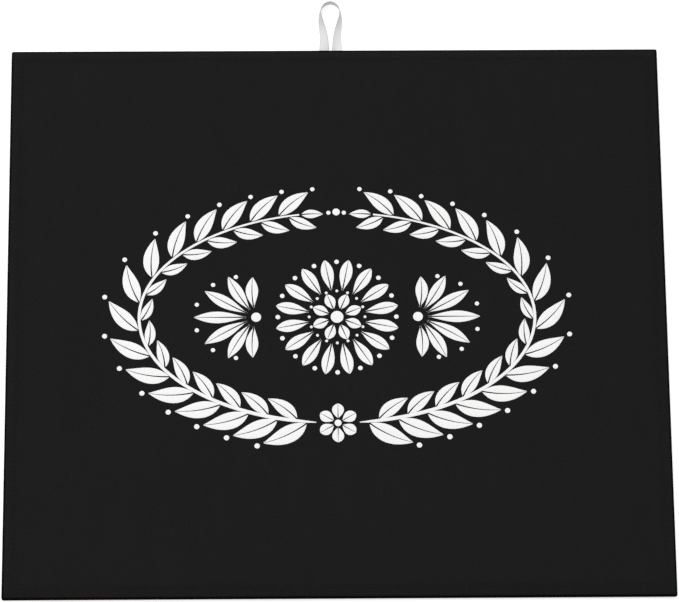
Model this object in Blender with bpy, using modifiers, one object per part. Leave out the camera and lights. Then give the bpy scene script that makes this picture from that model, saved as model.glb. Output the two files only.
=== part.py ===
"""Dish drying mat: two cloths sewn round a sponge sheet, with a ribbon loop to hang it by.

Metres, +Z up. The mat lies flat with its underside at Z = 0. The origin is the middle of the underside,
X runs along the wide side and +Y points to the side that has the ribbon loop.
"""

import math

import bmesh
import bpy

MM = 0.001

# Driving dimensions of the mat
MAT_WIDTH = 457.2 * MM  # 18 inches, along X
MAT_DEPTH = 406.4 * MM  # 16 inches, along Y
MAT_HEIGHT = 4.4 * MM
CORNER_RADIUS = 1.4 * MM  # of the outline, seen from above
CLOTH = 0.8 * MM  # thickness of each cloth
GAP = 0.3 * MM  # between pieces that touch
SEAM_Z = 2.0 * MM  # height of the seam where the two cloths meet round the edge

# The soft edge: a rolled rim outside, and the dip that the line of topstitching pulls in
FACE_ROUND = 1.1 * MM  # how far in each cloth's tight roll reaches
BACK_ROUND = 1.9 * MM
RIM_WALL = 0.1 * MM  # upright stretch of the rim beside the seam
RIM_LOW = 0.2 * MM  # how much lower the rim is than the middle of the mat
RIM_CREST = 5.7 * MM  # inset outside which the face cloth falls towards the edge
RIM_SLOPE = 0.20  # and how steeply
DIP_CENTRE = 7.2 * MM  # from the outer edge to the line of stitches
DIP_HALF_WIDTH = 2.4 * MM
FACE_DIP = 0.16 * MM
BACK_DIP = 0.35 * MM
RIM_STEPS = 4
DIP_STEPS = 8

# The sponge sheet between the cloths
CORE_INSET = 10.6 * MM
CORE_EDGE = 0.7 * MM  # bevel round its edges

# The ribbon loop
RIBBON_WIDTH = 7.0 * MM
RIBBON_THICKNESS = 0.6 * MM
LOOP_X = -2.75 * MM  # middle of the loop, a little off the middle of the mat
LEG_SPREAD = 4.55 * MM  # from the loop's middle to each leg where it leaves the seam
LOOP_HALF_WIDTH = 7.3 * MM  # of the round end, an ellipse
LOOP_END_LENGTH = 8.8 * MM
LOOP_REACH = 36.7 * MM  # from the mat's edge to the middle of the round end
LOOP_LEAN = -0.05 * MM  # how far the round end sits to one side of the legs
TAIL = 8.5 * MM  # length sewn in between the cloths
LOOP_MID_Z = 3.8 * MM  # middle of the ribbon where it stands on edge
FLARE_POWER = 4.0  # how slowly the legs part at first
TWIST_LENGTH = 24.2 * MM  # from the seam to where the ribbon all but stands on edge
TWIST_START = 0.10  # the share of that length over which the twist starts slowly
TWIST_STOP = 0.13  # how softly it stops: half of this is the squared share of the width still seen there
TAIL_STEPS = 3
LEG_STEPS = 18
END_STEPS = 12

CORNER_STEPS = 5
CORNER_LEAST = 0.5 * MM  # the inner rings keep this radius, so that their points never meet


def collection(name):
    made = bpy.data.collections.new(name)
    bpy.context.scene.collection.children.link(made)
    return made


def material(name, colour, roughness, metallic=0.0):
    made = bpy.data.materials.new(name)
    made.use_nodes = True
    shader = made.node_tree.nodes["Principled BSDF"]
    shader.inputs["Base Color"].default_value = (*colour, 1.0)
    shader.inputs["Roughness"].default_value = roughness
    shader.inputs["Metallic"].default_value = metallic
    return made


def object_from(bm, name, finish, group):
    mesh = bpy.data.meshes.new(name)
    bm.to_mesh(mesh)
    bm.free()
    made = bpy.data.objects.new(name, mesh)
    made.data.materials.append(finish)
    group.objects.link(made)
    return made


def rounded_rectangle(inset):
    """The mat's outline moved in by inset, as (x, y) points that run anticlockwise."""
    half_x = MAT_WIDTH / 2 - inset
    half_y = MAT_DEPTH / 2 - inset
    radius = max(CORNER_RADIUS - inset, CORNER_LEAST)
    points = []
    for corner, (sx, sy) in enumerate(((1, 1), (-1, 1), (-1, -1), (1, -1))):
        cx = sx * (half_x - radius)
        cy = sy * (half_y - radius)
        for step in range(CORNER_STEPS + 1):
            angle = math.radians(90) * (corner + step / CORNER_STEPS)
            points.append((cx + radius * math.cos(angle), cy + radius * math.sin(angle)))
    return points


def across_dip(inset):
    """The share of the way across the dip, 0 on its outer side and 1 on its inner side."""
    t = (inset - DIP_CENTRE) / (2 * DIP_HALF_WIDTH) + 0.5
    return min(max(t, 0.0), 1.0)


def dip(inset):
    """From 0 to 1 on the line of stitches, as a full cosine wave."""
    return (1 - math.cos(2 * math.pi * across_dip(inset))) / 2


def face_height(inset):
    """The face cloth's outside within the roll: the middle's height less the rim's step, dip and fall."""
    step_down = RIM_LOW * (1 + math.cos(math.pi * across_dip(inset))) / 2
    fall = RIM_SLOPE * max(RIM_CREST - inset, 0.0)
    return MAT_HEIGHT - step_down - FACE_DIP * dip(inset) - fall


def back_height(inset):
    """The back cloth's outside within the roll: flat on the table but for the dip."""
    return BACK_DIP * dip(inset)


def edge_profile(height, rim_round, sign):
    """The cloth's section from the seam inwards, as (inset, height) pairs.

    The sign is 1 for the cloth above the seam and -1 for the one below. A short wall and a quarter of an
    ellipse make the roll, which takes the section to its plain height.
    """
    rim_start = SEAM_Z + sign * GAP / 2
    wall_end = rim_start + sign * RIM_WALL
    pairs = [(0.0, rim_start)]
    for step in range(RIM_STEPS + 1):
        angle = math.radians(90) * step / RIM_STEPS
        inset = rim_round * (1 - math.cos(angle))
        pairs.append((inset, wall_end + (height(inset) - wall_end) * math.sin(angle)))
    for step in range(DIP_STEPS + 1):
        inset = DIP_CENTRE + DIP_HALF_WIDTH * (2 * step / DIP_STEPS - 1)
        pairs.append((inset, height(inset)))
    return pairs


def cloth_shell(name, profile, finish, group):
    """A cloth as one surface lofted through rings, from its edge at the seam to its flat middle."""
    bm = bmesh.new()
    rings = [[bm.verts.new((x, y, z)) for x, y in rounded_rectangle(d)] for d, z in profile]
    count = len(rings[0])
    for outer, inner in zip(rings, rings[1:]):
        for i in range(count):
            j = (i + 1) % count
            bm.faces.new((outer[i], outer[j], inner[j], inner[i]))
    bm.faces.new(rings[-1])
    facing_down = profile[-1][1] < profile[0][1]
    if facing_down:
        bmesh.ops.reverse_faces(bm, faces=bm.faces[:])
    made = object_from(bm, name, finish, group)
    wall = made.modifiers.new("cloth thickness", "SOLIDIFY")
    wall.thickness = CLOTH
    wall.offset = -1
    wall.use_even_offset = True
    return made


def face_cloth(group):
    profile = edge_profile(face_height, FACE_ROUND, 1)
    finish = material("black microfibre", (0.012, 0.012, 0.013), 0.95)
    return cloth_shell("face_cloth", profile, finish, group)


def back_cloth(group):
    profile = edge_profile(back_height, BACK_ROUND, -1)
    finish = material("charcoal backing", (0.02, 0.02, 0.021), 0.9)
    return cloth_shell("back_cloth", profile, finish, group)


def foam_core(group):
    """The sponge sheet, which stops just inside the line of stitches."""
    low = CLOTH + GAP
    high = MAT_HEIGHT - CLOTH - GAP
    bm = bmesh.new()
    bmesh.ops.create_cube(bm, size=1.0)
    size = (MAT_WIDTH - 2 * CORE_INSET, MAT_DEPTH - 2 * CORE_INSET, high - low)
    bmesh.ops.scale(bm, verts=bm.verts, vec=size)
    finish = material("grey sponge", (0.35, 0.35, 0.36), 0.95)
    made = object_from(bm, "foam_core", finish, group)
    made.location.z = (low + high) / 2
    edge = made.modifiers.new("soft edges", "BEVEL")
    edge.width = CORE_EDGE
    edge.segments = 2
    return made


def loop_outline():
    """One half of the loop from above, as (spread, forward) pairs from the tail to the round end's middle.

    The tail is straight, the leg flares out as a power of a sine, and a quarter of an ellipse closes
    the loop.
    """
    leg = LOOP_REACH - LOOP_END_LENGTH
    pairs = [(LEG_SPREAD, -TAIL * (1 - step / TAIL_STEPS)) for step in range(TAIL_STEPS)]
    for step in range(LEG_STEPS):
        t = step / LEG_STEPS
        flare = math.sin(math.radians(90) * t) ** FLARE_POWER
        pairs.append((LEG_SPREAD + (LOOP_HALF_WIDTH - LEG_SPREAD) * flare, leg * t))
    for step in range(END_STEPS + 1):
        angle = math.radians(90) * step / END_STEPS
        pairs.append((LOOP_HALF_WIDTH * math.cos(angle), leg + LOOP_END_LENGTH * math.sin(angle)))
    return pairs


def half_loop():
    """One half of the loop as (spread, forward, height, twist), where a twist of 0 lies flat.

    Seen from above, the square of the ribbon's width falls evenly with the way travelled from the seam,
    softened at both ends, so the ribbon stands on edge in the round end. It rises as the sine of its
    twist, and so stays off the table.
    """
    outline = loop_outline()
    ways = [0.0]
    for here, ahead in zip(outline, outline[1:]):
        ways.append(ways[-1] + math.dist(here, ahead))
    points = []
    for (spread, forward), way in zip(outline, ways):
        u = max(way - TAIL, 0.0) / TWIST_LENGTH
        left = 1 - u**2 / (u + TWIST_START)
        width_squared = (left + math.hypot(left, TWIST_STOP)) / 2
        twist = math.acos(math.sqrt(min(width_squared, 1.0)))
        height = SEAM_Z + (LOOP_MID_Z - SEAM_Z) * math.sin(twist)
        points.append((spread, forward, height, twist))
    return points


def ribbon_section(group):
    """The ribbon's rectangular section, a guide that the loop's route carries along."""
    data = bpy.data.curves.new("ribbon_section", "CURVE")
    data.dimensions = "2D"
    spline = data.splines.new("POLY")
    spline.points.add(3)
    half_width = RIBBON_WIDTH / 2
    half_thickness = RIBBON_THICKNESS / 2
    for point, (sx, sy) in zip(spline.points, ((-1, -1), (-1, 1), (1, 1), (1, -1))):
        point.co = (sx * half_width, sy * half_thickness, 0.0, 1.0)
    spline.use_cyclic_u = True
    made = bpy.data.objects.new("ribbon_section", data)
    made.hide_render = True
    group.objects.link(made)
    return made


def hang_loop(group, guides):
    """The ribbon's section along the loop's middle line: flat at the seam, on edge at the round end."""
    half = half_loop()
    route = [(-spread, y, z, -twist) for spread, y, z, twist in half]
    route += [(spread, y, z, -twist) for spread, y, z, twist in reversed(half[:-1])]
    data = bpy.data.curves.new("hang_loop", "CURVE")
    data.dimensions = "3D"
    data.twist_mode = "Z_UP"
    data.bevel_mode = "OBJECT"
    data.bevel_object = ribbon_section(guides)
    data.use_fill_caps = True
    spline = data.splines.new("POLY")
    spline.points.add(len(route) - 1)
    for point, (x, y, z, tilt) in zip(spline.points, route):
        lean = LOOP_LEAN * max(y, 0.0) / LOOP_REACH
        point.co = (LOOP_X + lean + x, MAT_DEPTH / 2 + y, z, 1.0)
        point.tilt = tilt
    data.materials.append(material("light grey ribbon", (0.72, 0.72, 0.73), 0.6))
    made = bpy.data.objects.new("hang_loop", data)
    group.objects.link(made)


def ribbon_slot(side, group):
    """The cutter that opens the seam for one leg of the ribbon."""
    bm = bmesh.new()
    bmesh.ops.create_cube(bm, size=1.0)
    size = (RIBBON_WIDTH + 2 * GAP, 2 * TAIL, RIBBON_THICKNESS + 2 * GAP)
    bmesh.ops.scale(bm, verts=bm.verts, vec=size)
    name = "slot_left" if side < 0 else "slot_right"
    made = object_from(bm, name, material(name, (0.5, 0.1, 0.1), 0.5), group)
    made.location = (LOOP_X + side * LEG_SPREAD, MAT_DEPTH / 2, SEAM_Z)
    made.hide_render = True
    made.display_type = "WIRE"
    return made


def cut(target, cutter):
    modifier = target.modifiers.new(f"opening for {cutter.name}", "BOOLEAN")
    modifier.object = cutter
    modifier.operation = "DIFFERENCE"
    modifier.solver = "EXACT"


def main():
    for old in list(bpy.data.objects):
        bpy.data.objects.remove(old, do_unlink=True)
    parts = collection("drying mat")
    cutters = collection("cutters")
    cutters.hide_render = True
    face = face_cloth(parts)
    back = back_cloth(parts)
    foam_core(parts)
    hang_loop(parts, cutters)
    for side in (-1, 1):
        slot = ribbon_slot(side, cutters)
        cut(face, slot)
        cut(back, slot)


main()
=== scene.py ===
"""The looks of the drying mat: cloths, print, stitches, sponge and ribbon, in metres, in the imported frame.

Every piece is a surface worked out with numpy: a section carried round the mat's edge, a grid laid on the
cloth, or a section carried along the ribbon or a stitch.
"""

import bpy
import numpy as np
from mathutils import Matrix, Vector


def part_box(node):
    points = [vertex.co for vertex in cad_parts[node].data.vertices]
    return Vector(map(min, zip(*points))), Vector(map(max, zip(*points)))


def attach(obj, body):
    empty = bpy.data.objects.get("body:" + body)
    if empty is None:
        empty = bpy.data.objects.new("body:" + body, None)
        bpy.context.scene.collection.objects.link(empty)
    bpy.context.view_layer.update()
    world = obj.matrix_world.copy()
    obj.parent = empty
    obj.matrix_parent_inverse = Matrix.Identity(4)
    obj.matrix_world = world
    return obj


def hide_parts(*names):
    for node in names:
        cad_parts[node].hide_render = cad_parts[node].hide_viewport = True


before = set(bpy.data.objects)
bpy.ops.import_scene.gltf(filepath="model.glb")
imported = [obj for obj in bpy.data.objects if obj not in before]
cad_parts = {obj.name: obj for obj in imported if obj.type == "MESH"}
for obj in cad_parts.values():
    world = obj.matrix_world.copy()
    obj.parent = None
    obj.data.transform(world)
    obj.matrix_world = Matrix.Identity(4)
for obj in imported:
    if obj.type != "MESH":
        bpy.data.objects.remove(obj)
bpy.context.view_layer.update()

MM = 0.001
TURN = 2 * np.pi

# The mat's outline and the heights of its cloths, from the frame
face_low, face_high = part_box("face_cloth")
back_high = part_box("back_cloth")[1]
core_low, core_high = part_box("foam_core")
HALF_X = face_high.x
HALF_Y = face_high.y
TOP_Z = face_high.z
SEAM_Z = (face_low.z + back_high.z) / 2
CORNER_RADIUS = 1.4 * MM
CORNER_WEIGHT = 2.5  # how many times its length a corner's arc counts when points are spread
CLOTH = 0.8 * MM

# The rolled rim, which falls outwards, and the dip that the topstitching pulls in
RIM_ROUND = 1.9 * MM  # how far in the rim's tight roll reaches
RIM_LOW = 0.12 * MM  # how much lower the rim is than the middle of the mat
RIM_SLOPE = 0.20
RIM_CREST = 5.7 * MM  # where the rim's fall starts, and over what length it bends
RIM_BEND = 0.45 * MM
TUCK = 0.55 * MM  # how far the cloths turn in at the seam
BELLY = 0.65 * MM  # from the seam up or down to the widest line of each cloth
SEAM_GAP = 0.03 * MM  # from the seam to each cloth's edge
DIP_CENTRE = 7.2 * MM
DIP_WIDTH = 1.9 * MM
DIP_POWER = 1.5
FACE_DIP = 0.06 * MM
BACK_DIP = 0.35 * MM
RISE_START = 6.0 * MM  # where the cloth starts to rise from the rim's height to the middle's
RISE_END = 10.4 * MM
FINE_END = 11.4 * MM  # inside this the rings halve their points
HALVED_AT = 13.2 * MM
MIDDLE_START = 16.0 * MM  # where the rings end and the middle's grid begins

# Unevenness: how high it is, the length of its waves, and the middle and width of the bell it lies under
SPONGE_WAVE = 0.10 * MM
SPONGE_WAVELENGTH = 80 * MM
RIM_WAVE = 0.10 * MM
RIM_WAVELENGTH = 18 * MM
RIM_WAVE_CENTRE = 2.6 * MM
RIM_WAVE_WIDTH = 1.5 * MM
FACE_GATHER = 0.05 * MM
BACK_GATHER = 0.06 * MM
GATHER_WAVELENGTH = 9 * MM
GATHER_WIDTH = 4.2 * MM
FACE_PULL = 0.08 * MM  # at each needle hole
BACK_PULL = 0.10 * MM
PULL_WIDTH = 1.3 * MM

SPONGE_SLACK = 0.1 * MM  # between the sponge and the face cloth where the unevenness is lowest

# The ribbon loop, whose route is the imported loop's
LOOP_X = -2.75 * MM
LEG_SPREAD = 4.55 * MM
LOOP_HALF_WIDTH = 7.3 * MM
LOOP_END_LENGTH = 8.8 * MM
LOOP_REACH = 36.7 * MM
LOOP_LEAN = -0.05 * MM
LOOP_MID_Z = 3.8 * MM
TAIL = 8.5 * MM
FLARE_POWER = 4.0  # how slowly the legs part at first
TWIST_LENGTH = 24.2 * MM  # from the seam to where the ribbon all but stands on edge
TWIST_START = 0.10  # the shares of that length over which the twist starts slowly and eases in
TWIST_EASE = 0.07
TWIST_STOP = 0.13  # how softly it stops
RIBBON_HALF_WIDTH = 3.5 * MM
RIBBON_HALF_THICKNESS = 0.21 * MM
RIBBON_STEP = 0.55 * MM
WARP_PITCH = 0.5 * MM  # from one lengthwise rib of the ribbon to the next
RIB_HEIGHT = 0.03 * MM
RIBS_END = 0.84  # in half ribbon widths from the ribbon's middle, as the next two are
CORD_CENTRE = 0.91
CORD_WIDTH = 0.05
CORD_HEIGHT = 0.10 * MM
CUP = 0.12 * MM  # how far the ribbon's middle stands off the line between its selvedges
ROOM_HEIGHT = 0.3 * MM  # how far each cloth opens round the ribbon at the seam
ROOM_WIDTH = 4.15 * MM

# Stitches, and four points of the cloth's rings to each
STITCHES_X = 127
STITCHES_Y = 113
POINTS_A_STITCH = 4
PITCH_X = 2 * (HALF_X - DIP_CENTRE) / STITCHES_X
PITCH_Y = 2 * (HALF_Y - DIP_CENTRE) / STITCHES_Y
THREAD_RADIUS = 0.21 * MM
THREAD_RISE = 0.6  # of the radius, from the cloth to the thread's middle line
THREAD_DIVE = 0.55 * MM
STITCH_WOBBLE = 2.0  # degrees, the spread of the stitches' headings

# The printed ornament
OVAL_X = 137 * MM  # half the width and height of the wreath's oval
OVAL_Y = 78 * MM
PRINT_RISE = 0.10 * MM  # top of the print above the cloth, and its edges
PRINT_EDGE = 0.03 * MM
PRINT_ROOT = 0.15 * MM  # how deep it reaches into the cloth
VEIN = 0.5 * MM  # half the gap along a leaf's midrib, at its foot
LEAF_LEAST = 0.08 * MM  # least width of each half of a leaf
FAN_X = 56 * MM  # the point that each palmette's leaves spread from
FAN_FOOT = 7 * MM
FAN_SPREAD = np.radians(78)


# Making meshes


def add_piece(name, points, face_sets, finish, sharp=40):
    """A piece from an array of points and a list of face arrays, one row of point numbers a face."""
    mesh = bpy.data.meshes.new(name)
    sizes = np.concatenate([np.full(len(faces), faces.shape[1]) for faces in face_sets])
    corners = np.concatenate([faces.ravel() for faces in face_sets])
    mesh.vertices.add(len(points))
    mesh.vertices.foreach_set("co", points.astype(np.float32).ravel())
    mesh.loops.add(len(corners))
    mesh.loops.foreach_set("vertex_index", corners.astype(np.int32))
    mesh.polygons.add(len(sizes))
    mesh.polygons.foreach_set("loop_start", (np.cumsum(sizes) - sizes).astype(np.int32))
    mesh.update(calc_edges=True)
    mesh.validate()
    mesh.shade_smooth()
    mesh.set_sharp_from_angle(angle=np.radians(sharp))
    mesh.materials.append(finish)
    piece = bpy.data.objects.new(name, mesh)
    bpy.context.scene.collection.objects.link(piece)
    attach(piece, "root")
    return piece


def add_map(piece, name, places):
    """A UV map from one place for each corner of each face."""
    piece.data.uv_layers.new(name=name).uv.foreach_set("vector", places.astype(np.float32).ravel())


def grid_faces(numbers):
    """Four-sided faces of a grid of point numbers, facing up where columns run along X and rows along Y."""
    faces = [numbers[:-1, :-1], numbers[:-1, 1:], numbers[1:, 1:], numbers[1:, :-1]]
    return np.stack(faces, -1).reshape(-1, 4)


def ring_faces(first, second):
    """Faces between two closed rings of point numbers, three-sided where one ring has half the points."""
    first_next = np.roll(first, -1)
    second_next = np.roll(second, -1)
    if len(first) == len(second):
        return np.stack([first, second, second_next, first_next], 1)
    if len(first) > len(second):
        return ring_faces(second, first)[:, ::-1]
    near, halfway, far = second[::2], second[1::2], np.roll(second, -2)[::2]
    corners = [(first, near, halfway), (first, halfway, first_next), (first_next, halfway, far)]
    return np.concatenate([np.stack(three, 1) for three in corners])


def copied(faces, copies, points_each):
    """The faces of one shape repeated for as many copies, whose points follow each other."""
    starts = np.arange(copies)[:, None, None] * points_each
    return (faces[None] + starts).reshape(-1, faces.shape[1])


def joined(shapes):
    """Several (points, face_sets) as one."""
    points = []
    face_sets = []
    count = 0
    for shape_points, shape_faces in shapes:
        face_sets += [faces + count for faces in shape_faces]
        points.append(shape_points.reshape(-1, 3))
        count += len(points[-1])
    return np.concatenate(points), face_sets


# The cloths' shape


def outline(inset, share):
    """Points round the mat, moved in by inset.

    The share counts the sides, 0 to 4, from the corner at +X +Y.
    A side is half a corner's arc, a straight run and half the next arc, with the points at equal shares of
    its length, in which the arcs count CORNER_WEIGHT times. Side 0 runs along the +Y edge, and each next
    one is turned by a quarter.
    """
    side = np.floor(share).astype(int)
    wide = side % 2 == 0
    along = np.where(wide, HALF_X, HALF_Y) - inset
    out = np.where(wide, HALF_Y, HALF_X) - inset
    radius = np.maximum(CORNER_RADIUS - inset, 0.0)
    arc = CORNER_WEIGHT * radius * TURN / 8
    straight = 2 * (along - radius)
    way = (share - side) * (straight + 2 * arc)
    run = np.clip(way - arc, 0.0, straight)
    turned = TURN / 8 + (way - run) / CORNER_WEIGHT / np.maximum(radius, 1e-9)
    a = along - radius - run + radius * np.cos(turned)
    b = out - radius + radius * np.sin(turned)
    quarter = side * TURN / 4
    return a * np.cos(quarter) - b * np.sin(quarter), a * np.sin(quarter) + b * np.cos(quarter)


def from_edges(x, y):
    """The distances to the nearest edge and, along it, to the nearest corner."""
    in_x = HALF_X - np.abs(x)
    in_y = HALF_Y - np.abs(y)
    return np.minimum(in_x, in_y), np.maximum(in_x, in_y)


def unevenness(x, y, wavelength, seed):
    """A smooth random field, mostly from -1 to 1: a sum of sine waves that run in all directions."""
    draw = np.random.default_rng(seed)
    waves = 12
    angles = draw.uniform(0, TURN, waves)
    lengths = wavelength * draw.uniform(0.7, 1.5, waves)
    starts = draw.uniform(0, TURN, waves)
    total = 0.0
    for angle, length, start in zip(angles, lengths, starts):
        total = total + np.sin(TURN * (x * np.cos(angle) + y * np.sin(angle)) / length + start)
    return total / np.sqrt(waves)


def stitch_pull(x, y):
    """From 0 to 1: a cosine along the stitches, 1 at each needle hole, times a bell across their line."""
    inset, along = from_edges(x, y)
    wide = HALF_Y - np.abs(y) < HALF_X - np.abs(x)
    pitch = np.where(wide, PITCH_X, PITCH_Y)
    wave = (1 + np.cos(TURN * (along - DIP_CENTRE) / pitch)) / 2
    return wave * np.exp(-(((inset - DIP_CENTRE) / PULL_WIDTH) ** 2))


def rim_waves(x, y):
    """Slow waves along the rolled rim: a random field times a bell across the rim's fall."""
    inset, _ = from_edges(x, y)
    bell = np.exp(-(((inset - RIM_WAVE_CENTRE) / RIM_WAVE_WIDTH) ** 2))
    return unevenness(x, y, RIM_WAVELENGTH, seed=8) * bell


def puckers(x, y):
    """Small gathers beside the stitches: a short-waved random field times a bell across their line."""
    inset, _ = from_edges(x, y)
    bell = np.exp(-(((inset - DIP_CENTRE) / GATHER_WIDTH) ** 2))
    return unevenness(x, y, GATHER_WAVELENGTH, seed=3) * bell


def rise(inset):
    """From 0 on the rim to 1 in the middle, as half a cosine wave."""
    share = np.clip((inset - RISE_START) / (RISE_END - RISE_START), 0.0, 1.0)
    return (1 - np.cos(np.pi * share)) / 2


def dip(inset):
    """From 0 to 1: a bell with a sharp bottom along the line of stitches."""
    return np.exp(-((np.abs(inset - DIP_CENTRE) / DIP_WIDTH) ** DIP_POWER))


def face_section(inset):
    """The face cloth's plain height: the middle's, less the step to the rim, the dip and the rim's fall.

    The fall is RIM_SLOPE times the softened way out from RIM_CREST, a logarithm of one and an exponential.
    """
    fall = RIM_SLOPE * RIM_BEND * np.log1p(np.exp((RIM_CREST - inset) / RIM_BEND))
    return TOP_Z - RIM_LOW * (1 - rise(inset)) - FACE_DIP * dip(inset) - fall


def back_section(inset):
    """The back cloth's plain height: flat on the table but for the dip."""
    return BACK_DIP * dip(inset)


def face_lift(x, y):
    """What the stitches, gathers and sponge add to the face cloth's plain section."""
    inset, _ = from_edges(x, y)
    sponge = SPONGE_WAVE * unevenness(x, y, SPONGE_WAVELENGTH, seed=5) * rise(inset)
    gathers = FACE_GATHER * puckers(x, y)
    return sponge + gathers + RIM_WAVE * rim_waves(x, y) - FACE_PULL * stitch_pull(x, y)


def face_height(x, y):
    """The face cloth's height inside the rolled rim."""
    inset, _ = from_edges(x, y)
    return face_section(inset) + face_lift(x, y)


def back_lift(x, y):
    """The back cloth lies on the table, so the stitches and gathers only ever lift it."""
    gathers = BACK_GATHER * np.maximum(1 + puckers(x, y), 0.0) * dip(from_edges(x, y)[0])
    return gathers + BACK_PULL * stitch_pull(x, y)


def ribbon_room(x, y):
    """How far the cloths open round the ribbon's ends: a flat-topped bell across each leg, on the +Y side."""
    beside = np.abs(np.abs(x - LOOP_X) - LEG_SPREAD) / ROOM_WIDTH
    return ROOM_HEIGHT * np.exp(-(beside**6)) * (y > HALF_Y - RISE_START)


def cloth_rows(section, sign):
    """One cloth's section from the middle out to the seam and back in, as rows of the rings' numbers.

    The rows are the inset, the height, the inset laid flat, the share of the seam's opening at the ribbon,
    and how many of the stitches' points are left out. Outside, it is the plain section, which a quarter of
    an ellipse brings down round the rim to the belly, then an arc that tucks in to the seam. Inside it
    follows one cloth's thickness behind. The sign is 1 for the upper cloth and -1 for the lower one.
    """
    spread = np.linspace(-1, 1, 15)
    dipped = DIP_CENTRE + (FINE_END - DIP_CENTRE) * np.sinh(2 * spread) / np.sinh(2)
    flat_insets = np.concatenate([[MIDDLE_START, HALVED_AT], dipped[::-1]])
    roll = np.radians(np.linspace(90, 0, 7))
    belly = SEAM_Z + sign * BELLY
    roll_insets = RIM_ROUND * (1 - np.cos(roll))
    roll_heights = belly + (section(roll_insets) - belly) * np.sin(roll)
    tuck = np.radians(np.linspace(25, 75, 3))
    tuck_insets = TUCK * (1 - np.cos(tuck)) / (1 - np.cos(tuck[-1]))
    seam = SEAM_Z + sign * SEAM_GAP
    tuck_heights = belly + (seam - belly) * np.sin(tuck) / np.sin(tuck[-1])
    insets = np.concatenate([flat_insets, roll_insets, tuck_insets])
    heights = np.concatenate([section(flat_insets), roll_heights, tuck_heights])
    steps = np.hypot(np.diff(insets), np.diff(heights))
    laid_flat = MIDDLE_START - np.concatenate([[0.0], np.cumsum(steps)])
    opening = np.clip(1 - (heights - seam) / (section(RIM_ROUND) - seam), 0.0, 1.0) ** 2
    skips = np.ones(len(insets), int)
    skips[:2] = POINTS_A_STITCH, POINTS_A_STITCH // 2

    inner_insets = np.array([TUCK + CLOTH / 2, RIM_ROUND, DIP_CENTRE, RISE_END, MIDDLE_START])
    inner_heights = section(inner_insets) - sign * CLOTH
    inner_heights[0] = seam
    inner_opening = np.array([1.0, 0.3, 0.0, 0.0, 0.0])
    inner_skips = np.array([1, 1, 2, 4, 4])
    outside = np.stack([insets, heights, laid_flat, opening, skips])
    inside = np.stack([inner_insets, inner_heights, inner_insets, inner_opening, inner_skips])
    return outside, inside


def ring_shares(skip):
    """The shares of the outline at which a ring has its points."""
    counts = np.array([STITCHES_X, STITCHES_Y, STITCHES_X, STITCHES_Y]) * POINTS_A_STITCH
    return np.concatenate([side + np.arange(0, count, skip) / count for side, count in enumerate(counts)])


def middle_grid(ring, first_new):
    """Point numbers of the middle's grid: its border is the last ring, and its inside is new points."""
    nx, ny = STITCHES_X, STITCHES_Y
    numbers = np.zeros((ny + 1, nx + 1), int)
    numbers[1:-1, 1:-1] = first_new + np.arange((nx - 1) * (ny - 1)).reshape(ny - 1, nx - 1)
    numbers[-1, :0:-1] = ring[:nx]
    numbers[:0:-1, 0] = ring[nx : nx + ny]
    numbers[0, :-1] = ring[nx + ny : 2 * nx + ny]
    numbers[:-1, -1] = ring[2 * nx + ny :]
    return numbers


def middle_points():
    """Plan points inside the middle's grid."""
    x = np.linspace(-1, 1, STITCHES_X + 1)[1:-1] * (HALF_X - MIDDLE_START)
    y = np.linspace(-1, 1, STITCHES_Y + 1)[1:-1] * (HALF_Y - MIDDLE_START)
    return [side.ravel() for side in np.meshgrid(x, y)]


def cut_size(rows):
    """The size of the cloth laid flat."""
    beyond = rows[0][2].min()
    return 2 * (HALF_X - beyond), 2 * (HALF_Y - beyond)


def cloth(name, rows, lift, ribbon_side, finish):
    """A closed cloth: rings round the mat from the middle to the seam and back, and two middle grids.

    Its map for baking is the cloth laid flat, which leaves a strip over it because the mat is less deep
    than wide, and the inner side is small in that strip.
    """
    outside, inside = rows
    points, flats, rings = [], [], []
    count = 0
    for inset, height, laid_flat, opening, skip in np.concatenate([outside, inside], 1).T:
        share = ring_shares(int(skip))
        x, y = outline(inset, share)
        z = height + lift(x, y) + ribbon_side * opening * ribbon_room(x, y)
        points.append(np.stack([x, y, z], 1))
        flats.append(np.stack(outline(laid_flat, share), 1))
        rings.append(count + np.arange(len(share)))
        count += len(share)
    x, y = middle_points()
    for height in (outside[1, 0], inside[1, -1]):
        points.append(np.stack([x, y, height + lift(x, y)], 1))
        flats.append(np.stack([x, y], 1))
    outer_middle = grid_faces(middle_grid(rings[0], count))
    inner_middle = grid_faces(middle_grid(rings[-1], count + len(x)))[:, ::-1]
    last_outer = outside.shape[1] - 1
    outer = [outer_middle] + [ring_faces(rings[i], rings[i + 1]) for i in range(last_outer)]
    inner = [ring_faces(rings[i], rings[i + 1]) for i in range(last_outer, len(rings) - 1)] + [inner_middle]
    if ribbon_side < 0:
        outer = [faces[:, ::-1] for faces in outer]
        inner = [faces[:, ::-1] for faces in inner]
    piece = add_piece(name, np.concatenate(points), outer + inner, finish)
    flat = np.concatenate(flats)
    reach = flat[:, 0].max()
    outer_corners = np.concatenate([faces.ravel() for faces in outer])
    inner_corners = np.concatenate([faces.ravel() for faces in inner])
    depth_share = 0.89  # the mat's depth over its width
    strip_high = 0.1
    outer_places = (flat[outer_corners] + reach * np.array([1.0, depth_share])) / (2 * reach)
    inner_places = strip_high * (flat[inner_corners] / (2 * reach) + 0.5) + np.array([0.0, 1 - strip_high])
    add_map(piece, "OFBake", np.concatenate([outer_places, inner_places]))
    return piece


def face_cloth():
    """The upper cloth, which rises from the rim to the middle, and the size it was cut to."""
    rows = cloth_rows(face_section, 1)
    return cloth("face_microfibre", rows, face_lift, 1, face_finish()), cut_size(rows)


def back_cloth():
    """The lower cloth, flat on the table, and the size it was cut to."""
    rows = cloth_rows(back_section, -1)
    cut = cut_size(rows)
    return cloth("back_knit", rows, back_lift, -1, back_finish(cut[0])), cut


# The sponge between the cloths


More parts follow.
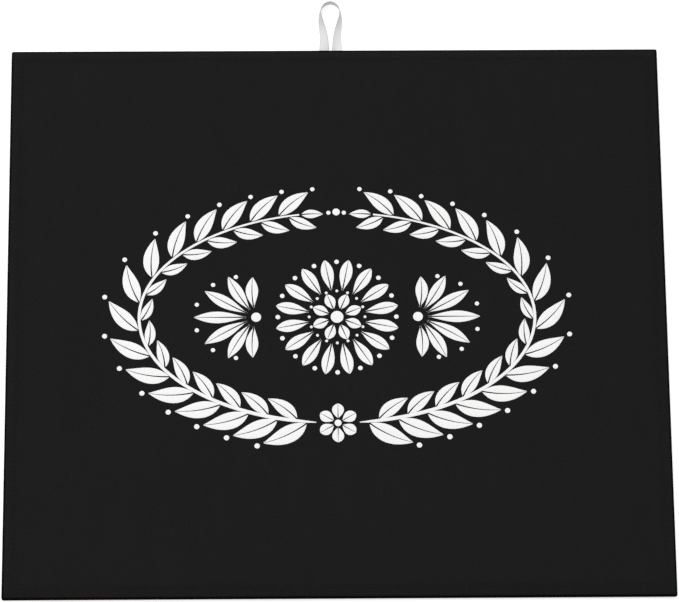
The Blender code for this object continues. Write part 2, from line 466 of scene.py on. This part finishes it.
def sponge_sheet(finish):
    """A closed sheet: rings round its half-round edge, and two middle grids."""
    low = core_low.z
    high = core_high.z - SPONGE_SLACK
    round_edge = (high - low) / 2
    angles = np.radians([90, 60, 30, 0, -30, -60, -90])
    insets = HALF_X - core_high.x + round_edge * (1 - np.cos(angles))
    heights = (low + high) / 2 + round_edge * np.sin(angles)
    insets = np.concatenate([[MIDDLE_START], insets, [MIDDLE_START]])
    heights = np.concatenate([[high], heights, [low]])
    share = ring_shares(POINTS_A_STITCH)
    points, rings = [], []
    for count, (inset, height) in enumerate(zip(insets, heights)):
        x, y = outline(inset, share)
        points.append(np.stack([x, y, np.full_like(x, height)], 1))
        rings.append(count * len(share) + np.arange(len(share)))
    x, y = middle_points()
    count = len(rings) * len(share)
    for height in (high, low):
        points.append(np.stack([x, y, np.full_like(x, height)], 1))
    faces = [ring_faces(first, second) for first, second in zip(rings, rings[1:])]
    faces.append(grid_faces(middle_grid(rings[0], count)))
    faces.append(grid_faces(middle_grid(rings[-1], count + len(x)))[:, ::-1])
    return add_piece("sponge_sheet", np.concatenate(points), faces, finish)


# The print


def slabs(x, y):
    """Thin closed slabs in the face cloth, one for each grid of plan points in x and y.

    The top is the cloth's height and a little more, less at the grid's border, and the base is under the
    cloth. A grid that runs the other way round is turned over first.
    """
    across = (x[:, 1, -1] - x[:, 1, 0]) * (y[:, -1, 1] - y[:, 0, 1])
    onward = (y[:, 1, -1] - y[:, 1, 0]) * (x[:, -1, 1] - x[:, 0, 1])
    turned = (across < onward)[:, None, None]
    x = np.where(turned, x[:, :, ::-1], x)
    y = np.where(turned, y[:, :, ::-1], y)
    copies, rows, columns = x.shape
    risen = np.full((rows, columns), PRINT_EDGE)
    risen[1:-1, 1:-1] = PRINT_RISE
    z = face_height(x, y)
    top = np.stack([x, y, z + risen], -1)
    base = np.stack([x, y, z - PRINT_ROOT], -1)
    numbers = np.arange(2 * rows * columns).reshape(2, rows, columns)
    sides = [numbers[:, 0, :-1], numbers[:, :-1, -1], numbers[:, -1, :0:-1], numbers[:, :0:-1, 0]]
    border = np.concatenate(sides, 1)
    faces = [grid_faces(numbers[0]), grid_faces(numbers[1])[:, ::-1], ring_faces(border[0], border[1])]
    each = copied(np.concatenate(faces), copies, 2 * rows * columns)
    return np.stack([top, base], 1), [each]


def leaves(x, y, heading, length, width, bend=0.0, widest=0.8, fullness=0.9, vein=VEIN):
    """Leaves in two halves with a gap for the vein, from arrays of their feet and headings.

    The midrib starts at the foot and turns by bend on its way. A leaf's half width at the share t of its
    length is half its width times sin(pi t^widest)^fullness, and the vein's gap narrows to the tip.
    """
    x, y, heading, length, width, bend = np.broadcast_arrays(x, y, heading, length, width, bend)
    t = np.linspace(0.0, 1.0, 17)
    turned = heading[:, None] + bend[:, None] * t
    middle = (turned[:, 1:] + turned[:, :-1]) / 2
    step = length[:, None] * np.diff(t)
    start = np.zeros((len(x), 1))
    rib_x = x[:, None] + np.concatenate([start, np.cumsum(step * np.cos(middle), 1)], 1)
    rib_y = y[:, None] + np.concatenate([start, np.cumsum(step * np.sin(middle), 1)], 1)
    gap = vein * (1 - 0.75 * t)
    half = width[:, None] / 2 * np.sin(np.pi * t**widest) ** fullness
    half = np.maximum(half, gap + LEAF_LEAST)
    off = gap[None, :, None] + (half - gap)[:, :, None] * np.linspace(0.0, 1.0, 5)
    halves = []
    for side in (-1, 1):
        leaf_x = rib_x[:, :, None] - side * off * np.sin(turned)[:, :, None]
        leaf_y = rib_y[:, :, None] + side * off * np.cos(turned)[:, :, None]
        halves.append(slabs(leaf_x, leaf_y))
    return joined(halves)


def beads(x, y, radius):
    """Round dots: a square grid whose points move in to a disc, u by sqrt(1 - v v / 2) and v the same way."""
    x, y, radius = np.broadcast_arrays(x, y, radius)
    u, v = np.meshgrid(np.linspace(-1, 1, 7), np.linspace(-1, 1, 7))
    disc_u = u * np.sqrt(1 - v**2 / 2)
    disc_v = v * np.sqrt(1 - u**2 / 2)
    spread = radius[:, None, None]
    return slabs(x[:, None, None] + spread * disc_u, y[:, None, None] + spread * disc_v)


def strokes(x, y, width):
    """Bands along paths, one row of points a path, with a width for each point."""
    ahead_x = np.gradient(x, axis=1)
    ahead_y = np.gradient(y, axis=1)
    length = np.hypot(ahead_x, ahead_y)
    off = (width / 2)[:, :, None] * np.linspace(-1, 1, 4)
    return slabs(
        x[:, :, None] - off * (ahead_y / length)[:, :, None],
        y[:, :, None] + off * (ahead_x / length)[:, :, None],
    )


def up_the_oval(share, grown=0.0):
    """Points and headings up the oval's right half, at shares of its length from foot to top."""
    angle = np.radians(np.linspace(-90, 90, 721))
    wide = OVAL_X + grown
    high = OVAL_Y + grown
    way = np.cumsum(np.hypot(wide * np.sin(angle), high * np.cos(angle)))
    at = np.interp(share, way / way[-1], angle)
    heading = np.arctan2(high * np.cos(at), -wide * np.sin(at))
    return wide * np.cos(at), high * np.sin(at), heading


def branch():
    """The wreath's right branch: a stem, leaves on both sides, berries at the outer tips and an end leaf.

    The leaves get smaller up the branch, and the inner ones also where the oval turns tightly. The stem
    runs thin at the foot, and narrows evenly to the top.
    """
    way = np.linspace(0, 1, 60)
    x, y, _ = up_the_oval(0.045 + 0.88 * way)
    thick = np.maximum((2.8 - 1.6 * way) * (1 - (1 - way) ** 40), 0.6) * MM
    shapes = [strokes(x[None], y[None], thick[None])]
    for side, first, length, width, tight in ((-1, 0.060, 33, 12.6, 0.0), (1, 0.080, 25, 10.0, 0.22)):
        share = np.linspace(first, first + 0.82, 15)
        x, y, heading = up_the_oval(share)
        out = heading + side * np.radians(42)
        size = (1 - 0.22 * share) * (1 - tight * np.exp(-(((share - 0.5) / 0.15) ** 2))) * MM
        feet_x = x + 2.4 * MM * np.cos(out)
        feet_y = y + 2.4 * MM * np.sin(out)
        bend = -side * np.radians(24)
        shapes.append(leaves(feet_x, feet_y, out, size * length, size * width, bend))
        if side < 0:
            tip = out + bend / 2
            away = size * (length + 4.6)
            shapes.append(beads(feet_x + away * np.cos(tip), feet_y + away * np.sin(tip), size * 1.9))
    x, y, heading = up_the_oval(np.array([0.93]))
    shapes.append(leaves(x, y, heading, np.array([15 * MM]), np.array([6.4 * MM]), np.radians(10)))
    return joined(shapes)


def fan_length(lean):
    """How long a palmette's leaf is: less to the sides, as the lean to the power of one and a half."""
    return (36 - 13 * np.abs(lean) ** 1.5) * MM


def fan():
    """The palmette to the right of the rosette: leaves that spread from a point, longest in the middle."""
    lean = np.linspace(-1, 1, 7)
    heading = FAN_SPREAD * lean
    feet_x = FAN_X + FAN_FOOT * np.cos(heading)
    feet_y = FAN_FOOT * np.sin(heading)
    bend = np.radians(20) * lean
    widths = np.full(7, 8.6 * MM)
    shapes = [leaves(feet_x, feet_y, heading, fan_length(lean), widths, bend, widest=1.2)]
    shapes.append(beads(np.array([FAN_X]), np.array([0.0]), 3.4 * MM))
    halfway = (lean[:-1] + lean[1:]) / 2
    between = FAN_SPREAD * halfway
    far = FAN_FOOT + fan_length(halfway)
    shapes.append(beads(FAN_X + far * np.cos(between), far * np.sin(between), 1.5 * MM))
    return joined(shapes)


def mirrored(shape):
    """The shape and its mirror image across the mat's middle, with the image's faces turned to point out."""
    points, face_sets = shape
    image = points * np.array([-1.0, 1.0, 1.0])
    lift = face_height(image[:, 0], image[:, 1]) - face_height(points[:, 0], points[:, 1])
    image[:, 2] += lift
    return joined([shape, (image, [faces[:, ::-1] for faces in face_sets])])


def rosette():
    """Rings of petals and beads round the middle."""
    shapes = []
    for count, near, length, width, widest in ((16, 20, 23, 8.6, 1.3), (8, 6.4, 11.5, 7.4, 1.1)):
        heading = TURN * (np.arange(count) + 0.5) / count
        x = near * MM * np.cos(heading)
        y = near * MM * np.sin(heading)
        lengths = np.full(count, length * MM)
        shapes.append(leaves(x, y, heading, lengths, width * MM, widest=widest, fullness=0.7))
    for count, far, radius in ((16, 41, 1.6), (16, 19.3, 1.0)):
        heading = TURN * np.arange(count) / count
        shapes.append(beads(far * MM * np.cos(heading), far * MM * np.sin(heading), radius * MM))
    shapes.append(beads(np.zeros(1), np.zeros(1), 4.4 * MM))
    return joined(shapes)


def blossom():
    """The six-petalled flower at the wreath's foot, with a bead in it."""
    heading = TURN * (np.arange(6) + 0.5) / 6
    foot = 3.6 * MM
    x = foot * np.cos(heading)
    y = -OVAL_Y + foot * np.sin(heading)
    lengths = np.full(6, 10.5 * MM)
    petals = leaves(x, y, heading, lengths, 8.2 * MM, widest=1.25, fullness=0.6, vein=0.35 * MM)
    return joined([petals, beads(np.zeros(1), np.array([-OVAL_Y]), 2.4 * MM)])


def crown():
    """Three beads between the branches' tips."""
    x = np.array([-5.4, 0.0, 5.4]) * MM
    y = OVAL_Y + np.array([0.0, 0.6, 0.0]) * MM
    return beads(x, y, np.array([1.5, 2.6, 1.5]) * MM)


def printed_ornament(finish):
    """The white print: a laurel wreath round a rosette and two palmettes."""
    shapes = [mirrored(branch()), mirrored(fan()), rosette(), blossom(), crown()]
    points, face_sets = joined(shapes)
    return add_piece("printed_ornament", points, face_sets, finish)


# Stitches


def stitch_line():
    """The middle, heading and pitch of each stitch, halfway between needle holes, round all four sides."""
    centres_x = (np.arange(STITCHES_X) + 0.5) * PITCH_X - (HALF_X - DIP_CENTRE)
    centres_y = (np.arange(STITCHES_Y) + 0.5) * PITCH_Y - (HALF_Y - DIP_CENTRE)
    far_x = np.full(STITCHES_Y, HALF_X - DIP_CENTRE)
    far_y = np.full(STITCHES_X, HALF_Y - DIP_CENTRE)
    x = np.concatenate([centres_x, far_x, centres_x, -far_x])
    y = np.concatenate([far_y, centres_y, -far_y, centres_y])
    heading = np.concatenate([np.zeros(STITCHES_X), np.full(STITCHES_Y, TURN / 4)] * 2)
    pitch = np.where(heading > 0, PITCH_Y, PITCH_X)
    return x, y, heading, pitch


def stitches(name, height, side, finish):
    """Short threads, each a round section carried along a line that dives into the cloth at both ends.

    At the share t of half a stitch's length, the line is THREAD_RISE of the thread's radius off the cloth,
    less a dive that grows as t to the fourth. The section narrows to the ends as sqrt(1 - t^8).
    """
    x, y, heading, pitch = stitch_line()
    draw = np.random.default_rng(11)
    heading = heading + np.radians(draw.normal(0.0, STITCH_WOBBLE, len(x)))
    t = np.linspace(-0.98, 0.98, 7)
    turn = np.arange(6) * TURN / 6
    along = (pitch / 2)[:, None, None] * t[:, None]
    radius = THREAD_RADIUS * np.sqrt(1 - t**8)[:, None]
    off = radius * np.cos(turn)
    cosine = np.cos(heading)[:, None, None]
    sine = np.sin(heading)[:, None, None]
    thread_x = x[:, None, None] + along * cosine - off * sine
    thread_y = y[:, None, None] + along * sine + off * cosine
    line = height[:, None, None] + side * (THREAD_RISE * THREAD_RADIUS - THREAD_DIVE * t**4)[:, None]
    thread_z = line + radius * np.sin(turn)
    points = np.stack([thread_x, thread_y, thread_z], -1)
    numbers = np.arange(t.size * turn.size).reshape(t.size, turn.size)
    walls = [ring_faces(first, second)[:, ::-1] for first, second in zip(numbers, numbers[1:])]
    ends = np.stack([numbers[0][::-1], numbers[-1]])
    face_sets = [copied(np.concatenate(walls), len(x), numbers.size), copied(ends, len(x), numbers.size)]
    return add_piece(name, points.reshape(-1, 3), face_sets, finish, 60)


# The ribbon


def ribbon_route():
    """The ribbon's middle line at even steps, with how far it has twisted: 0 lies flat, a quarter stands.

    Each half is a straight tail, a leg that flares as a power of a sine and a quarter of an ellipse. Seen
    from above, the square of the ribbon's width falls evenly with the way from the seam, softened at both
    ends. With u the way as a share of TWIST_LENGTH, left is 1 - u^3 / (u^2 + TWIST_START u + TWIST_EASE^2),
    and the width's square is left plus the root of left^2 + TWIST_STOP^2, made 1 at the seam. The ribbon
    rises as the sine of its twist.
    """
    leg = LOOP_REACH - LOOP_END_LENGTH
    tail = np.linspace(-TAIL, 0.0, 40)[:-1]
    t = np.linspace(0.0, 1.0, 300)[:-1]
    end = np.radians(np.linspace(0, 90, 200))
    flare = LEG_SPREAD + (LOOP_HALF_WIDTH - LEG_SPREAD) * np.sin(np.pi / 2 * t) ** FLARE_POWER
    spread = np.concatenate([np.full(tail.size, LEG_SPREAD), flare, LOOP_HALF_WIDTH * np.cos(end)])
    forward = np.concatenate([tail, leg * t, leg + LOOP_END_LENGTH * np.sin(end)])
    way = np.concatenate([[0.0], np.cumsum(np.hypot(np.diff(spread), np.diff(forward)))]) - TAIL
    u = np.maximum(way, 0.0) / TWIST_LENGTH
    left = 1 - u**3 / (u**2 + TWIST_START * u + TWIST_EASE**2)
    width_squared = (left + np.hypot(left, TWIST_STOP)) / (1 + np.hypot(1, TWIST_STOP))
    twist = np.arccos(np.sqrt(np.minimum(width_squared, 1.0)))
    lean = LOOP_LEAN * np.maximum(forward, 0.0) / LOOP_REACH
    rows = np.stack([lean - spread, forward, twist, way])
    back = np.stack([lean + spread, forward, twist, 2 * way[-1] - way])[:, -2::-1]
    x, y, twist, way = np.concatenate([rows, back], 1)
    even = np.linspace(way[0], way[-1], int((way[-1] - way[0]) / RIBBON_STEP))
    x, y, twist = (np.interp(even, way, values) for values in (x, y, twist))
    z = SEAM_Z + (LOOP_MID_Z - SEAM_Z) * np.sin(twist)
    return np.stack([LOOP_X + x, HALF_Y + y, z], 1), twist


def ribbon_loop(finish):
    """A woven section carried along the route: thin, ribbed lengthwise, with a rounder cord in each selvedge.

    Across the ribbon the half thickness is sqrt(1 - v^10) times the plain one, plus a cosine for the ribs
    and a narrow bell near each edge. The ribbon also cups a little, as 1 - v v.
    """
    route, twist = ribbon_route()
    ahead = np.gradient(route, axis=0)
    ahead /= np.linalg.norm(ahead, axis=1, keepdims=True)
    inward = np.cross(ahead, [0.0, 0.0, 1.0])
    inward /= np.linalg.norm(inward, axis=1, keepdims=True)
    upward = np.cross(inward, ahead)
    across = np.cos(twist)[:, None] * inward + np.sin(twist)[:, None] * upward
    outward = np.cross(across, ahead)
    widest_angle = np.pi / 2 * 0.97
    v = np.sin(np.linspace(-1, 1, 81) * widest_angle) / np.sin(widest_angle)
    ribs = RIB_HEIGHT * np.cos(TURN * v * RIBBON_HALF_WIDTH / WARP_PITCH) * (np.abs(v) < RIBS_END)
    cord = CORD_HEIGHT * np.exp(-(((np.abs(v) - CORD_CENTRE) / CORD_WIDTH) ** 2))
    half = (RIBBON_HALF_THICKNESS + ribs + cord) * np.sqrt(1 - (0.999 * v) ** 10)
    cup = CUP * (1 - v**2)
    section_v = np.concatenate([v, v[::-1]])
    section_n = np.concatenate([cup + half, (cup - half)[::-1]])
    points = route[:, None] + RIBBON_HALF_WIDTH * section_v[:, None] * across[:, None]
    points = points + section_n[:, None] * outward[:, None]
    steps, sides = points.shape[:2]
    numbers = np.arange(steps * sides).reshape(steps, sides)
    walls = np.concatenate([ring_faces(second, first) for first, second in zip(numbers, numbers[1:])])
    ends = np.stack([numbers[0][::-1], numbers[-1]])
    piece = add_piece("ribbon_loop", points.reshape(-1, 3), [walls, ends], finish, 50)
    along = np.repeat(np.arange(steps) * RIBBON_STEP / RIBBON_HALF_WIDTH, sides)
    places = np.stack([np.tile(section_v, steps), along], 1)
    add_map(piece, "weave", places[np.concatenate([walls.ravel(), ends.ravel()])])
    return piece


# Finishes

# Painted shade on the microfibre, as shares of its own colour, with the insets they run between: darker round
# the rolled rim and in a band along the stitches
RIM_PAINTED_SHADE = 0.20
RIM_PAINTED_SHADE_START = 0.75 * MM
RIM_PAINTED_SHADE_END = 1.75 * MM
STITCH_BAND_PAINTED_SHADE = 0.96
STITCH_BAND_CENTRE = 7.6 * MM  # middle of the band of painted shade along the stitches
STITCH_BAND_START = 1.4 * MM  # to either side of that middle
STITCH_BAND_END = 4.0 * MM

# The knit: half the width of a column of loops, and the height of a loop
HALF_WALE = 0.65 * MM
COURSE = 0.9 * MM

# Painted shade and light on the ribbon: darker selvedges, a darker round end, a darker -X leg and a lighter
# +X leg
SELVEDGE_PAINTED_SHADE = 0.84
ROUND_END_PAINTED_SHADE = 0.755
ROUND_END_PAINTED_SHADE_Y = HALF_Y + 26.5 * MM
ROUND_END_PAINTED_SHADE_REACH = 14 * MM
LEFT_LEG_PAINTED_SHADE = 0.94
RIGHT_LEG_PAINTED_LIGHT = 1.125
PAINTED_SIDES_REACH = 8 * MM


def new_finish(name):
    """A material, and its nodes and main shader."""
    made = bpy.data.materials.new(name)
    made.use_nodes = True
    return made, made.node_tree, made.node_tree.nodes["Principled BSDF"]


def put(tree, kind, feeds=(), **settings):
    """A node with its settings, and feeds as pairs of an input and its value or the output that drives it."""
    made = tree.nodes.new(kind)
    for name, value in settings.items():
        setattr(made, name, value)
    for place, value in feeds:
        if isinstance(value, bpy.types.NodeSocket):
            tree.links.new(value, made.inputs[place])
        else:
            made.inputs[place].default_value = value
    return made


def worked(tree, operation, *values):
    """A number worked out from others."""
    return put(tree, "ShaderNodeMath", enumerate(values), operation=operation).outputs[0]


def product(tree, first, second):
    return worked(tree, "MULTIPLY", first, second)


def distance(tree, value, centre):
    """How far the value is from the centre, to either side."""
    return worked(tree, "ABSOLUTE", worked(tree, "SUBTRACT", value, centre))


def noise(tree, where, scale, detail=3.0, roughness=0.55, stretch=(1.0, 1.0, 1.0)):
    """A noise pattern in object coordinates, stretched along the axes."""
    mapped = put(tree, "ShaderNodeMapping", [("Vector", where), ("Scale", stretch)])
    feeds = [("Vector", mapped.outputs[0]), ("Scale", scale), ("Detail", detail), ("Roughness", roughness)]
    return put(tree, "ShaderNodeTexNoise", feeds).outputs[0]


def between(tree, factor, low, high, start=0.3, end=0.7, blend="LINEAR"):
    """A number from low to high as the factor goes from start to end."""
    feeds = [("Value", factor), ("From Min", start), ("From Max", end), ("To Min", low), ("To Max", high)]
    return put(tree, "ShaderNodeMapRange", feeds, interpolation_type=blend).outputs[0]


def blended(tree, factor, first, second):
    """A colour from the first to the second."""
    feeds = [(0, factor), (6, (*first, 1.0)), (7, (*second, 1.0))]
    return put(tree, "ShaderNodeMix", feeds, data_type="RGBA").outputs[2]


def scaled(tree, vector, share):
    """A colour or place times a number."""
    return put(tree, "ShaderNodeVectorMath", [(0, vector), (3, share)], operation="SCALE").outputs[0]


def parts_of(tree, vector):
    return put(tree, "ShaderNodeSeparateXYZ", [(0, vector)]).outputs


def inset_of(tree, where):
    """How far in from the mat's nearest edge."""
    ways = []
    for axis, half in (("X", HALF_X), ("Y", HALF_Y)):
        off = worked(tree, "ABSOLUTE", parts_of(tree, where)[axis])
        ways.append(worked(tree, "SUBTRACT", half, off))
    return worked(tree, "MINIMUM", *ways)


def bumped(tree, height, strength, depth, under=None):
    """The surface's direction on a fine relief, laid over another relief's direction if one is given."""
    feeds = [("Strength", strength), ("Distance", depth), ("Height", height)]
    if under is not None:
        feeds.append(("Normal", under))
    return put(tree, "ShaderNodeBump", feeds).outputs[0]


def microfibre(name, dark, light):
    """Short-napped microfibre: tufts of fine fibres and brushed streaks along Y, with painted shade in its
    colour.

    The painted shade lies round the rolled rim and in a band along the stitches.
    """
    made, tree, shader = new_finish(name)
    where = put(tree, "ShaderNodeTexCoord").outputs["Object"]
    nap = noise(tree, where, 3200.0, 2.0, 0.6, (1.0, 0.45, 1.0))
    tufts = noise(tree, where, 1100.0, 3.0, 0.6, (1.0, 0.6, 1.0))
    brushed = noise(tree, where, 90.0, 4.0, 0.6, (1.0, 0.3, 1.0))
    fibres = between(tree, worked(tree, "ADD", nap, tufts), 0.0, 0.8, 0.75, 1.25)
    mixed = worked(tree, "ADD", fibres, product(tree, brushed, 0.3))
    inset = inset_of(tree, where)
    # painted shade: the colour darkens towards the rolled rim's edge
    rim = between(tree, inset, RIM_PAINTED_SHADE, 1.0, RIM_PAINTED_SHADE_START, RIM_PAINTED_SHADE_END)
    # painted shade in a band along the line of stitches
    beside = distance(tree, inset, STITCH_BAND_CENTRE)
    painted_stitch_band = between(tree, beside, STITCH_BAND_PAINTED_SHADE, 1.0, STITCH_BAND_START, STITCH_BAND_END)
    colour = scaled(tree, blended(tree, mixed, dark, light), product(tree, rim, painted_stitch_band))
    tree.links.new(colour, shader.inputs["Base Color"])
    tree.links.new(between(tree, tufts, 0.86, 1.0), shader.inputs["Roughness"])
    fine = bumped(tree, nap, 0.6, 0.10 * MM)
    tree.links.new(bumped(tree, tufts, 0.6, 0.25 * MM, fine), shader.inputs["Normal"])
    return made, shader


def face_finish():
    made, shader = microfibre("black microfibre", (0.0079,) * 3, (0.0128,) * 3)
    shader.inputs["Specular IOR Level"].default_value = 0.01
    return made


def print_finish():
    made, shader = microfibre("white print", (0.703, 0.703, 0.70), (0.81, 0.81, 0.807))
    shader.inputs["Specular IOR Level"].default_value = 0.15
    return made


def back_finish(cut_width):
    """Knitted backing: slanted loops in columns, a wave along Y that each half column shifts the other way.

    The knit lies on the cloth as it was cut, so it runs on round the rim. The cloth's map for baking shows
    it laid flat, cut_width wide.
    """
    made, tree, shader = new_finish("charcoal knit")
    where = scaled(tree, put(tree, "ShaderNodeUVMap", uv_map="OFBake").outputs[0], cut_width)
    parts = parts_of(tree, where)
    column = worked(tree, "PINGPONG", parts["X"], HALF_WALE)
    slanted = worked(tree, "ADD", parts["Y"], product(tree, column, 0.9))
    course = worked(tree, "SINE", product(tree, slanted, TURN / COURSE))
    wale = worked(tree, "SINE", product(tree, column, TURN / 2 / HALF_WALE))
    loops = product(tree, between(tree, course, 0.0, 1.0, -1.0, 1.0), wale)
    fuzz = noise(tree, where, 700.0)
    fuzzed = product(tree, loops, between(tree, fuzz, 0.5, 1.0))
    tree.links.new(blended(tree, fuzzed, (0.006,) * 3, (0.030,) * 3), shader.inputs["Base Color"])
    tree.links.new(between(tree, fuzz, 0.8, 0.98), shader.inputs["Roughness"])
    tree.links.new(bumped(tree, loops, 0.7, 0.25 * MM), shader.inputs["Normal"])
    shader.inputs["Specular IOR Level"].default_value = 0.15
    return made


def sponge_finish():
    """Open-celled sponge: round cells that are deeper in their middles, with painted shade there."""
    made, tree, shader = new_finish("grey sponge")
    where = put(tree, "ShaderNodeTexCoord").outputs["Object"]
    cells = put(tree, "ShaderNodeTexVoronoi", [("Vector", where), ("Scale", 900.0)]).outputs["Distance"]
    depth = between(tree, cells, 0.0, 1.0, 0.1, 0.6)
    # painted shade: a darker colour in the cells' deeper middles
    tree.links.new(blended(tree, depth, (0.12,) * 3, (0.38,) * 3), shader.inputs["Base Color"])
    tree.links.new(bumped(tree, cells, 0.8, 0.4 * MM), shader.inputs["Normal"])
    shader.inputs["Roughness"].default_value = 0.95
    return made


def ribbon_finish():
    """Woven ribbon: yarns along it and fine picks across it, with painted shade at the selvedges and in the
    round end, the -X leg painted darker and the +X leg painted lighter.

    The weave follows the piece's own map, which counts half ribbon widths from the middle and along.
    """
    made, tree, shader = new_finish("light grey ribbon")
    where = parts_of(tree, put(tree, "ShaderNodeTexCoord").outputs["Object"])
    weave = put(tree, "ShaderNodeUVMap", uv_map="weave").outputs[0]
    yarns = noise(tree, weave, 14.0, 3.0, 0.6, (1.0, 0.08, 1.0))
    picks = noise(tree, weave, 16.0, 2.0, 0.5, (0.15, 1.0, 1.0))
    colour = blended(tree, between(tree, yarns, 0.0, 1.0), (0.60, 0.60, 0.603), (0.69, 0.69, 0.693))
    off_middle = worked(tree, "ABSOLUTE", parts_of(tree, weave)["X"])
    # painted shade along the selvedges
    edge = between(tree, off_middle, 1.0, SELVEDGE_PAINTED_SHADE, 0.76, 0.92)
    # painted shade where the ribbon stands on edge in its round end
    from_turn = distance(tree, where["Y"], ROUND_END_PAINTED_SHADE_Y)
    turn = between(tree, from_turn, ROUND_END_PAINTED_SHADE, 1.0, 0.0, ROUND_END_PAINTED_SHADE_REACH, "SMOOTHSTEP")
    # painted shade on the -X leg and painted light on the +X leg
    side = between(tree, where["X"], LEFT_LEG_PAINTED_SHADE, RIGHT_LEG_PAINTED_LIGHT, LOOP_X - PAINTED_SIDES_REACH, LOOP_X + PAINTED_SIDES_REACH)
    shade = product(tree, product(tree, edge, turn), side)
    tree.links.new(scaled(tree, colour, shade), shader.inputs["Base Color"])
    tree.links.new(between(tree, picks, 0.5, 0.75), shader.inputs["Roughness"])
    tree.links.new(bumped(tree, picks, 0.4, 0.06 * MM), shader.inputs["Normal"])
    shader.inputs["Specular IOR Level"].default_value = 0.25
    shader.inputs["Sheen Weight"].default_value = 0.05
    return made


def thread_finish():
    made, tree, shader = new_finish("black thread")
    where = put(tree, "ShaderNodeTexCoord").outputs["Object"]
    ply = noise(tree, where, 2500.0, 2.0)
    colour = blended(tree, between(tree, ply, 0.0, 1.0), (0.0096,) * 3, (0.0133,) * 3)
    tree.links.new(colour, shader.inputs["Base Color"])
    tree.links.new(between(tree, ply, 0.45, 0.7), shader.inputs["Roughness"])
    tree.links.new(bumped(tree, ply, 0.5, 0.05 * MM), shader.inputs["Normal"])
    shader.inputs["Specular IOR Level"].default_value = 0.04
    return made


# The camera, floor and light

CAMERA_TARGET = Vector((1.84 * MM, 13.5 * MM, 0.0))
CAMERA_AZIMUTH = np.radians(2.059)
CAMERA_ELEVATION = np.radians(68.565)
CAMERA_ROLL = np.radians(1.643)
CAMERA_DISTANCE = 3.109
CAMERA_LENS = 237.49  # for a sensor 36 wide, both in millimetres
FLOOR_Z = -0.05 * MM
FLOOR_HALF = 40.0
FLOOR_GLOW = 0.58
LIGHT_SIDE = (-0.21, 0.978, 0.0)
LIGHT_SLANT = 0.9
SLANT_START = 0.04  # sines of the angles above the horizon between which the slant comes in
SLANT_END = 0.20
KEY_PLACE = (-0.36, 0.2, 1.1)
KEY_SIZE = 0.8
KEY_POWER = 3.7


def photo_camera():
    """The camera at the photograph's angle, with the roll that its slightly turned frame has."""
    level_share = np.cos(CAMERA_ELEVATION)
    side = -np.sin(CAMERA_AZIMUTH) * level_share
    back = -np.cos(CAMERA_AZIMUTH) * level_share
    out = Vector((side, back, np.sin(CAMERA_ELEVATION)))
    level = Vector((0.0, 0.0, 1.0)).cross(out).normalized()
    upright = out.cross(level)
    right = np.cos(CAMERA_ROLL) * level + np.sin(CAMERA_ROLL) * upright
    up = out.cross(right)
    data = bpy.data.cameras.new("photo camera")
    data.sensor_width = 36.0
    data.lens = CAMERA_LENS
    data.clip_end = 100.0
    camera = bpy.data.objects.new("photo camera", data)
    bpy.context.scene.collection.objects.link(camera)
    turned = Matrix((right, up, out)).transposed().to_4x4()
    camera.matrix_world = Matrix.Translation(CAMERA_TARGET + CAMERA_DISTANCE * out) @ turned
    bpy.context.scene.camera = camera


def pale_floor():
    """A wide white table, faintly lit from within as a light table is."""
    made, tree, shader = new_finish("pale floor")
    where = put(tree, "ShaderNodeTexCoord").outputs["Object"]
    shade = noise(tree, where, 3.0)
    tree.links.new(blended(tree, shade, (0.60,) * 3, (0.63,) * 3), shader.inputs["Base Color"])
    shader.inputs["Roughness"].default_value = 1.0
    shader.inputs["Specular IOR Level"].default_value = 0.0
    shader.inputs["Emission Color"].default_value = (1.0, 1.0, 1.0, 1.0)
    shader.inputs["Emission Strength"].default_value = FLOOR_GLOW
    mesh = bpy.data.meshes.new("pale_floor")
    corners = [(x * FLOOR_HALF, y * FLOOR_HALF, FLOOR_Z) for x, y in ((-1, -1), (1, -1), (1, 1), (-1, 1))]
    mesh.from_pydata(corners, [], [(0, 1, 2, 3)])
    mesh.materials.append(made)
    floor = bpy.data.objects.new("pale_floor", mesh)
    bpy.context.scene.collection.objects.link(floor)


def area_light(name, place, size, power):
    """A square soft light that faces the middle of the mat."""
    data = bpy.data.lights.new(name, "AREA")
    data.size = size
    data.energy = power
    lamp = bpy.data.objects.new(name, data)
    lamp.location = place
    lamp.rotation_euler = Vector(place).to_track_quat("Z", "Y").to_euler()
    bpy.context.scene.collection.objects.link(lamp)


def studio():
    """Soft white light all round, stronger from the back left, and a soft key overhead on that side.

    The light from a direction is 1 and LIGHT_SLANT times its cosine to LIGHT_SIDE, but even at the horizon.
    """
    world = bpy.data.worlds.new("studio")
    world.use_nodes = True
    tree = world.node_tree
    way = put(tree, "ShaderNodeTexCoord").outputs["Generated"]
    feeds = [(0, way), (1, LIGHT_SIDE)]
    cosine = put(tree, "ShaderNodeVectorMath", feeds, operation="DOT_PRODUCT").outputs["Value"]
    slant = between(tree, parts_of(tree, way)["Z"], 0.0, LIGHT_SLANT, SLANT_START, SLANT_END)
    backdrop = tree.nodes["Background"]
    backdrop.inputs["Color"].default_value = (1.0, 1.0, 1.0, 1.0)
    tree.links.new(worked(tree, "MULTIPLY_ADD", cosine, slant, 1.0), backdrop.inputs["Strength"])
    bpy.context.scene.world = world
    area_light("key", KEY_PLACE, KEY_SIZE, KEY_POWER)
    bpy.context.scene.view_settings.view_transform = "Standard"


def main():
    photo_camera()
    face, face_cut = face_cloth()
    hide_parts("face_cloth")
    back, back_cut = back_cloth()
    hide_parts("back_cloth")
    sponge = sponge_sheet(sponge_finish())
    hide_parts("foam_core")
    ornament = printed_ornament(print_finish())
    x, y, _, _ = stitch_line()
    thread = thread_finish()
    top_height = face_section(DIP_CENTRE) + face_lift(x, y)
    top_stitches = stitches("top_stitches", top_height, 1, thread)
    under_height = back_section(DIP_CENTRE) + back_lift(x, y)
    under_stitches = stitches("under_stitches", under_height, -1, thread)
    ribbon = ribbon_loop(ribbon_finish())
    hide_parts("hang_loop")
    pale_floor()
    studio()


main()
